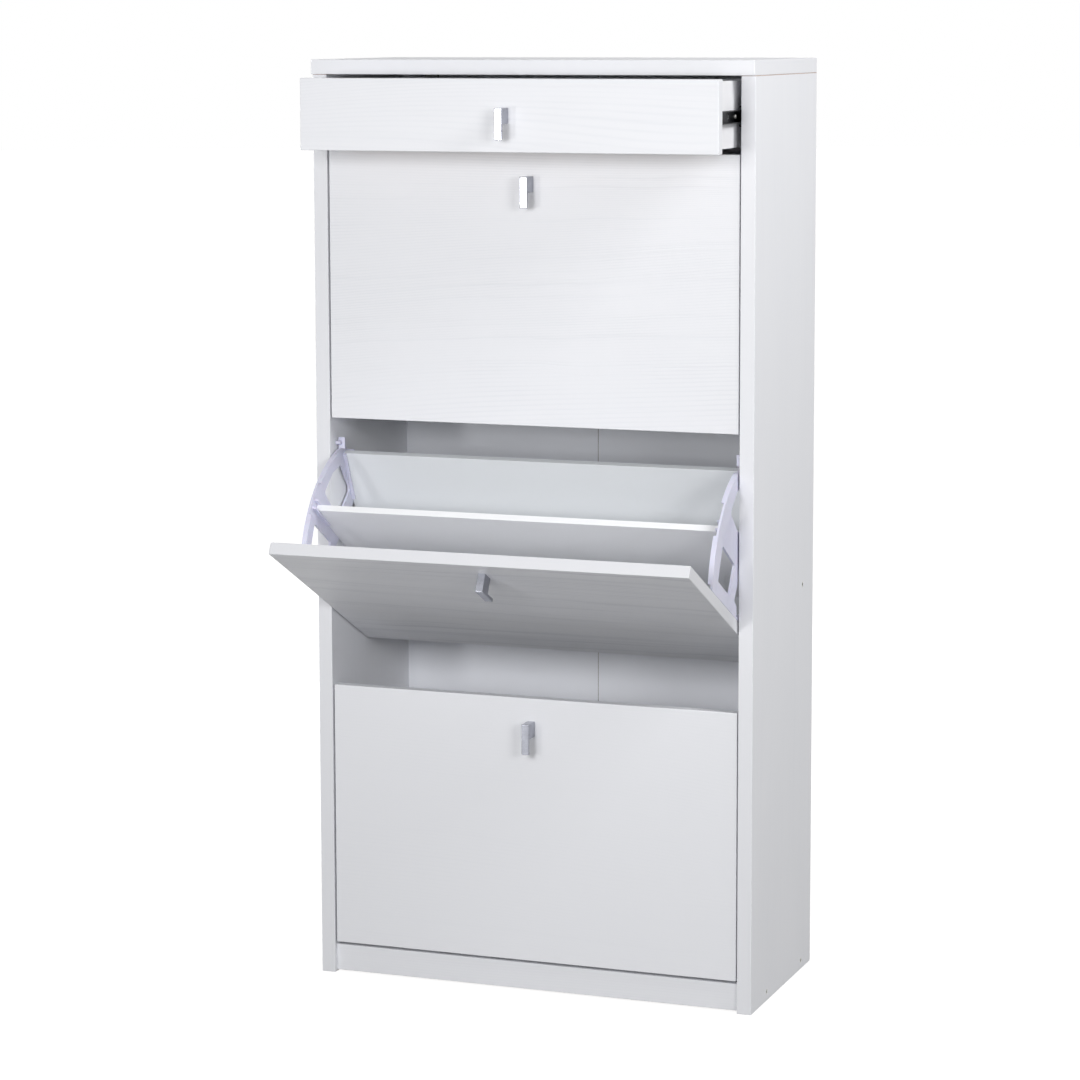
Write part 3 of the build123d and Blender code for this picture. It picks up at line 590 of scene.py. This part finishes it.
def metal(name, tone, roughness, patch_size, spread):
    """A metal whose patches, of a size in metres, spread its roughness."""
    finish = Finish(name, Metallic=1.0)
    position = finish.upright("Object")
    patch = finish.noise(finish.vector(*(part / patch_size for part in position)), 3.0)
    fine = finish.noise(finish.scaled(position, brushing))
    darker = tuple(part * patch_darkening for part in tone)
    colour = finish.blend(patch.between(*patch_range), tone, darker)
    rough = roughness + (patch - 0.5) * spread + fine * brush_roughness
    finish.cover(colour, fine, rough, *brush_relief)
    return finish.material


bright_zinc = metal("bright_zinc", shade(208, 208, 204), 0.3, 0.004, 0.2)
black_zinc = metal("black_zinc", shade(46, 47, 50), 0.34, 0.006, 0.16)
bearing_steel = metal("bearing_steel", shade(214, 214, 216), 0.16, 0.003, 0.08)
# painted shade: the pulls' silver is kept dark, its low tone standing in for a dim room mirrored in the
# plates
satin_silver = metal("satin_silver", shade(170, 172, 181), 0.24, 0.01, 0.05)
zinc_pieces = (
    "confirmat_screws", "cam_locks", "cam_bolts", "runner_channel_screws", "pivot_pins",
    "wall_brackets", "wall_bracket_screws", "drawer_cam_locks", "drawer_cam_bolts",
    "drawer_screws", "runner_slide_screws",
)
for node in zinc_pieces:
    finish_node(node, bright_zinc)
for rack in racks:
    finish_node(f"{rack}_screws", bright_zinc)
    finish_node(f"{rack}_handle", satin_silver)
finish_node("drawer_handle", satin_silver)
for side in ("left", "right"):
    finish_node(f"runner_channel_{side}", black_zinc)
    finish_node(f"runner_slide_{side}", black_zinc)
    finish_node(f"ball_cage_{side}", bearing_steel)
metals = ("bright_zinc", "black_zinc", "bearing_steel", "satin_silver")
print("pieces of each metal:", {name: len(wearing(name)) for name in metals})

# %% [markdown]
# ## Beech
# The dowels are turned from beech. They are hidden in the boards, and only show when the
# cabinet is taken apart.

# %% Beech dowels
beech = Finish("beech")
fleck_rates = (300.0, 1500.0, 1500.0)    # per metre: they lie along the dowel
fleck_relief = (0.00005, 1.0)            # metres, and strength
dowel_place = beech.upright("Object")
fleck_place = (part * rate for part, rate in zip(dowel_place, fleck_rates))
flecks = beech.noise(beech.vector(*fleck_place), 3.0)
beech_tone = beech.blend(flecks, shade(214, 176, 128), shade(186, 142, 96))
beech.cover(beech_tone, flecks, 0.6 + flecks * 0.1, *fleck_relief)
finish_node("carcass_dowels", beech.material)
finish_node("drawer_dowels", beech.material)
print("pieces left without a finish:", sorted(set(nodes) - set(dressed)))

# %% [markdown]
# ## A white room that keeps a shadow
# Studio pictures of white furniture stand on white paper. If that paper were made white by
# more light, the cabinet would burn out with it. So the floor is a plain pale grey under the
# lamps, and the rays that come straight from the camera, or by way of polished metal, get a
# little glow on top of it: lit paper then reads as white and the cabinet's own shadow stays.
# The world does the same, so there is no horizon, and from behind or above the room is white
# as well.

# %% The floor
near_glow = 0.9
far_glow = 1.0
glow_rises = (0.7, 2.2)        # metres from the middle, from the near glow to the far one
paper_light = (0.22, 0.22, 0.22)
paper_dark = (0.21, 0.21, 0.21)
paper_clouds = 60.0            # per metre
floor_radius = 30.0
floor_corners = 96
floor_finish = Finish("studio_paper", Roughness=0.95, Specular_IOR_Level=0.1, Emission_Strength=1.0)
ground = floor_finish.upright("Object")
clouds = floor_finish.noise(floor_finish.scaled(ground, paper_clouds), 3.0)
floor_finish.set("Base Color", floor_finish.blend(clouds, paper_light, paper_dark))
distance = (ground[X] * ground[X] + ground[Y] * ground[Y]) ** 0.5
rise = near_glow + distance.between(*glow_rises) * (far_glow - near_glow)
glow = floor_finish.backdrop_ray() * rise
floor_finish.set("Emission Color", floor_finish.vector(glow, glow, glow))


def round_floor():
    """A disc on the ground, drawn round so that no corner shows from above."""
    mesh = bpy.data.meshes.new("studio_floor")
    shape = bmesh.new()
    bmesh.ops.create_circle(shape, cap_ends=True, segments=floor_corners, radius=floor_radius)
    shape.to_mesh(mesh)
    shape.free()
    mesh.materials.append(floor_finish.material)
    made = bpy.data.objects.new("studio_floor", mesh)
    bpy.context.scene.collection.objects.link(made)
    return made


round_floor()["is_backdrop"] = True
print("floor, metres across:", 2 * floor_radius)

# %% The world
world_level = 0.06
world = bpy.data.worlds.new("studio")
world.use_nodes = True
sky = Graph(world.node_tree)
background = world.node_tree.nodes["Background"]
background.inputs["Color"].default_value = opaque((1.0, 1.0, 1.0))
sky.plug(background.inputs["Strength"], world_level + sky.backdrop_ray() * (1.0 - world_level))
bpy.context.scene.world = world
print("light of the world on the cabinet, 1 is white:", world_level)

# %% [markdown]
# ## Lamps
# Every lamp is a soft box. The key stands in front at the height of the top, so the fronts are
# lit evenly and the shadow of a pull stays close to it. A small low card on the left lets the
# pull of the tipped flap throw a long slanting shadow, and the pulls above mirror it. A large
# box on the right lights the right side panel and reaches into the open part, and one high
# beside the cabinet lights the top and the floor. The last one stands behind, to the left, and
# serves the views from there: the fronts face away from it. The powers were balanced so that
# a white board in front of the lamps renders as the white that was written.

# %% Soft boxes
soft_boxes = {
    # name: place, width, height, watts
    "front_box": ((-0.05, -2.6, 1.32), 0.8, 0.9, 33.0),
    "left_card": ((-1.3, -3.3, 0.9), 0.35, 0.4, 14.0),
    "right_box": ((3.0, -3.0, 1.5), 1.2, 1.2, 41.0),
    "side_box": ((2.1, -0.3, 2.5), 1.0, 1.0, 46.0),
    "back_box": ((-2.4, 2.4, 1.3), 1.4, 1.4, 80.0),
}
cabinet_middle = Vector((0.0, 0.0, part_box("top_panel")[1].z / 2))


def lamp(name, place, width, height, power):
    """A soft box that faces the middle of the cabinet."""
    light = bpy.data.lights.new(name, "AREA")
    light.shape = "RECTANGLE"
    light.size = width
    light.size_y = height
    light.energy = power
    made = bpy.data.objects.new(name, light)
    made.location = place
    made.rotation_euler = (cabinet_middle - Vector(place)).to_track_quat("-Z", "Y").to_euler()
    made.visible_camera = False
    bpy.context.scene.collection.objects.link(made)


for name, settings in soft_boxes.items():
    lamp(name, *settings)
print("soft boxes, watts:", {name: settings[-1] for name, settings in soft_boxes.items()})

# %% [markdown]
# ## Camera
# It stands a little above the cabinet's top, to its right, nearly four metres away, with a
# long lens, which is how furniture is shown without stretching it.

# %% Camera
focal_length = 112.4           # millimetres
eye_right = 1.5205             # metres right of the middle
eye_distance = 4.018           # metres in front of the front plane
eye_height = 1.262
eye_turn = (82.71, 0.14, 20.54)    # degrees about X, Y and Z
camera = bpy.data.cameras.new("camera")
camera.lens = focal_length
camera.shift_y = -0.08
eye = bpy.data.objects.new("camera", camera)
eye.location = (eye_right, front_plane - eye_distance, eye_height)
eye.rotation_euler = [math.radians(angle) for angle in eye_turn]
bpy.context.scene.collection.objects.link(eye)
bpy.context.scene.camera = eye
bpy.context.scene.view_settings.view_transform = "Standard"
print("camera, metres from the front:", eye_distance, "lens, mm:", focal_length)

# %% Sizes, and the last line
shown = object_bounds()
growth = [*(cad_box[0] - shown[0]), *(shown[1] - cad_box[1])]
print("most that the look stands out of the construction, mm:", round(1000 * max(growth), 3))
